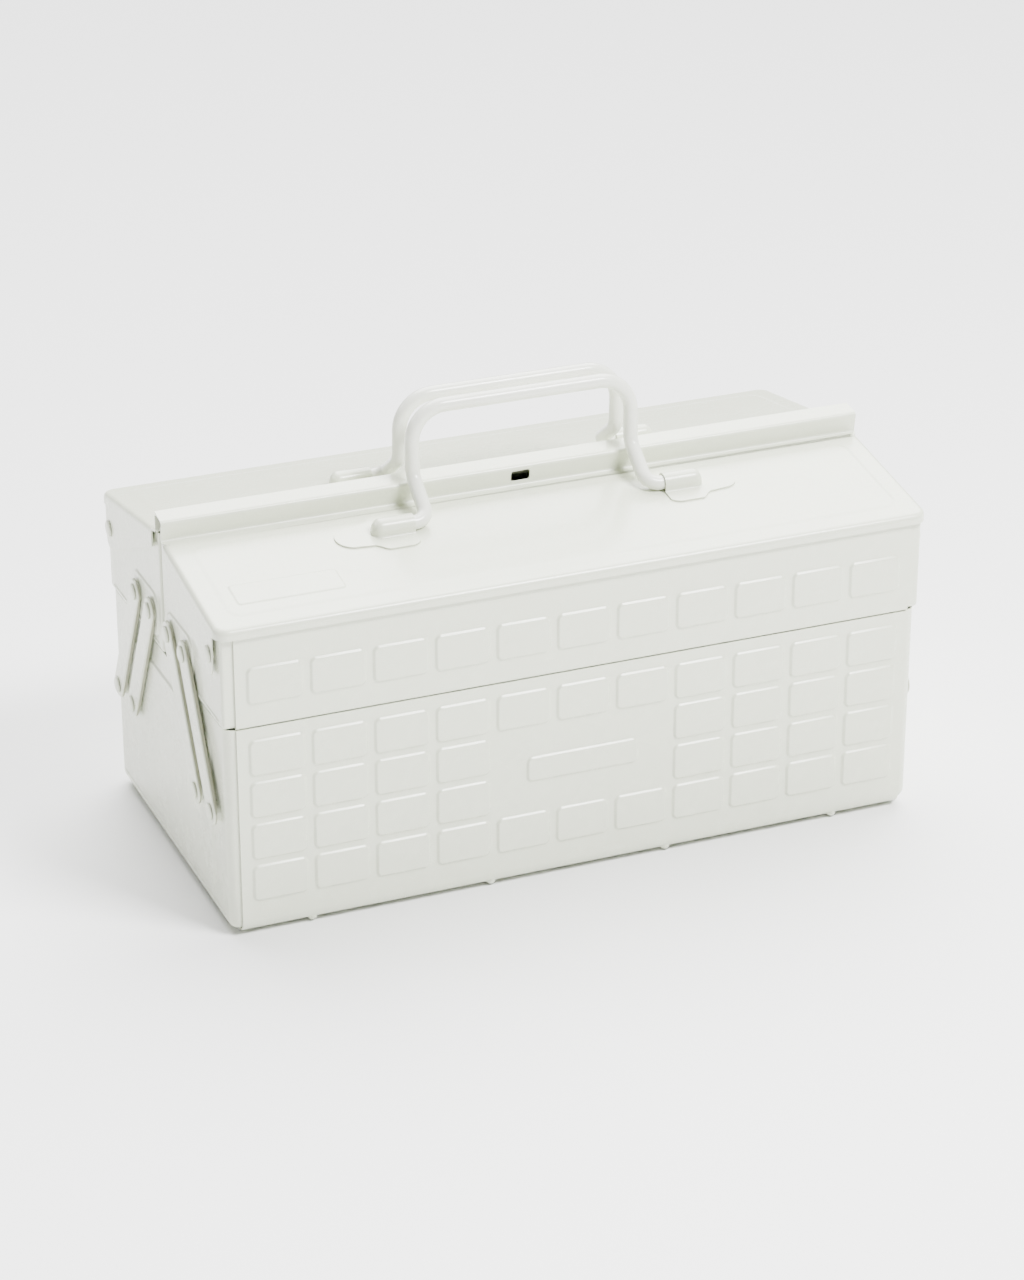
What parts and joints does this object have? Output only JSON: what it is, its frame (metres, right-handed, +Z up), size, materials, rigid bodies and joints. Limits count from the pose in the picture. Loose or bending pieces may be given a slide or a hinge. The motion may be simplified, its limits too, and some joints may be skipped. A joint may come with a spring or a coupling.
{
  "type": "sewing_box",
  "caption": "Long pressed-steel sewing box with a deep base, cantilevered upper trays on folding arms, sloping lids and drop handles.",
  "frame": {"origin": "centre of the underside of the four ribs the box stands on", "axes": "+X along the box to the right seen from the front, +Y to the rear, +Z up"},
  "size_m": [0.3508, 0.1738, 0.215],
  "materials": {
    "paint": "gloss",
    "rivet": "gloss",
    "handle": "gloss"
  },
  "bodies": {
    "base": {"base_shell": "paint", "base_end_left": "paint", "base_end_right": "paint", "front_inner_foot_rivet_left": "rivet", "front_inner_foot_rivet_right": "rivet", "front_outer_foot_rivet_left": "rivet", "front_outer_foot_rivet_right": "rivet", "rear_inner_foot_rivet_left": "rivet", "rear_inner_foot_rivet_right": "rivet", "rear_outer_foot_rivet_left": "rivet", "rear_outer_foot_rivet_right": "rivet"},
    "front_inner_arms": {"front_inner_arm_left": "paint", "front_inner_arm_right": "paint"},
    "front_outer_arms": {"front_outer_arm_left": "paint", "front_outer_arm_right": "paint"},
    "rear_inner_arms": {"rear_inner_arm_left": "paint", "rear_inner_arm_right": "paint"},
    "rear_outer_arms": {"rear_outer_arm_left": "paint", "rear_outer_arm_right": "paint"},
    "front_tray": {"front_tray_shell": "paint", "front_tray_end_left": "paint", "front_tray_end_right": "paint", "front_tray_partition": "paint", "front_inner_tray_rivet_left": "rivet", "front_inner_tray_rivet_right": "rivet", "front_outer_tray_rivet_left": "rivet", "front_outer_tray_rivet_right": "rivet", "front_lid_rivet_left": "rivet", "front_lid_rivet_right": "rivet"},
    "rear_tray": {"rear_tray_shell": "paint", "rear_tray_end_left": "paint", "rear_tray_end_right": "paint", "rear_tray_partition": "paint", "rear_inner_tray_rivet_left": "rivet", "rear_inner_tray_rivet_right": "rivet", "rear_outer_tray_rivet_left": "rivet", "rear_outer_tray_rivet_right": "rivet", "rear_lid_rivet_left": "rivet", "rear_lid_rivet_right": "rivet"},
    "front_lid": {"front_lid": "paint", "front_clip_left": "paint", "front_clip_right": "paint"},
    "rear_lid": {"rear_lid": "paint", "rear_clip_left": "paint", "rear_clip_right": "paint"},
    "front_handle": {"front_handle": "handle"},
    "rear_handle": {"rear_handle": "handle"}
  },
  "joints": [
    {"name": "front_inner_arm_swing", "type": "hinge", "parent": "base", "child": "front_inner_arms", "pos_m": [0, -0.0478, 0.0585], "axis": [1, 0, 0], "range_deg": [0, 54]},
    {"name": "front_outer_arm_swing", "type": "hinge", "parent": "base", "child": "front_outer_arms", "pos_m": [0, -0.0701, 0.0585], "axis": [1, 0, 0], "range_deg": [0, 54]},
    {"name": "front_tray_turn", "type": "hinge", "parent": "front_inner_arms", "child": "front_tray", "pos_m": [0, -0.014, 0.1212], "axis": [1, 0, 0], "range_deg": [-54, 0]},
    {"name": "rear_inner_arm_swing", "type": "hinge", "parent": "base", "child": "rear_inner_arms", "pos_m": [0, 0.0478, 0.0585], "axis": [1, 0, 0], "range_deg": [-54, 0]},
    {"name": "rear_outer_arm_swing", "type": "hinge", "parent": "base", "child": "rear_outer_arms", "pos_m": [0, 0.0701, 0.0585], "axis": [1, 0, 0], "range_deg": [-54, 0]},
    {"name": "rear_tray_turn", "type": "hinge", "parent": "rear_inner_arms", "child": "rear_tray", "pos_m": [0, 0.014, 0.1212], "axis": [1, 0, 0], "range_deg": [0, 54]},
    {"name": "front_lid_open", "type": "hinge", "parent": "front_tray", "child": "front_lid", "pos_m": [0, -0.0743, 0.1378], "axis": [1, 0, 0], "range_deg": [0, 80]},
    {"name": "rear_lid_open", "type": "hinge", "parent": "rear_tray", "child": "rear_lid", "pos_m": [0, 0.0743, 0.1378], "axis": [1, 0, 0], "range_deg": [-80, 0]},
    {"name": "front_handle_fold", "type": "hinge", "parent": "front_lid", "child": "front_handle", "pos_m": [0, -0.0328, 0.16511], "axis": [1, 0, 0], "range_deg": [0, 118]},
    {"name": "rear_handle_fold", "type": "hinge", "parent": "rear_lid", "child": "rear_handle", "pos_m": [0, 0.023, 0.16668], "axis": [1, 0, 0], "range_deg": [-118, 0]}
  ],
  "couplings": [
    {"joint": "front_outer_arm_swing", "follows": "front_inner_arm_swing", "ratio": 1},
    {"joint": "front_tray_turn", "follows": "front_inner_arm_swing", "ratio": -1},
    {"joint": "rear_inner_arm_swing", "follows": "front_inner_arm_swing", "ratio": -1},
    {"joint": "rear_outer_arm_swing", "follows": "front_inner_arm_swing", "ratio": -1},
    {"joint": "rear_tray_turn", "follows": "front_inner_arm_swing", "ratio": 1}
  ]
}
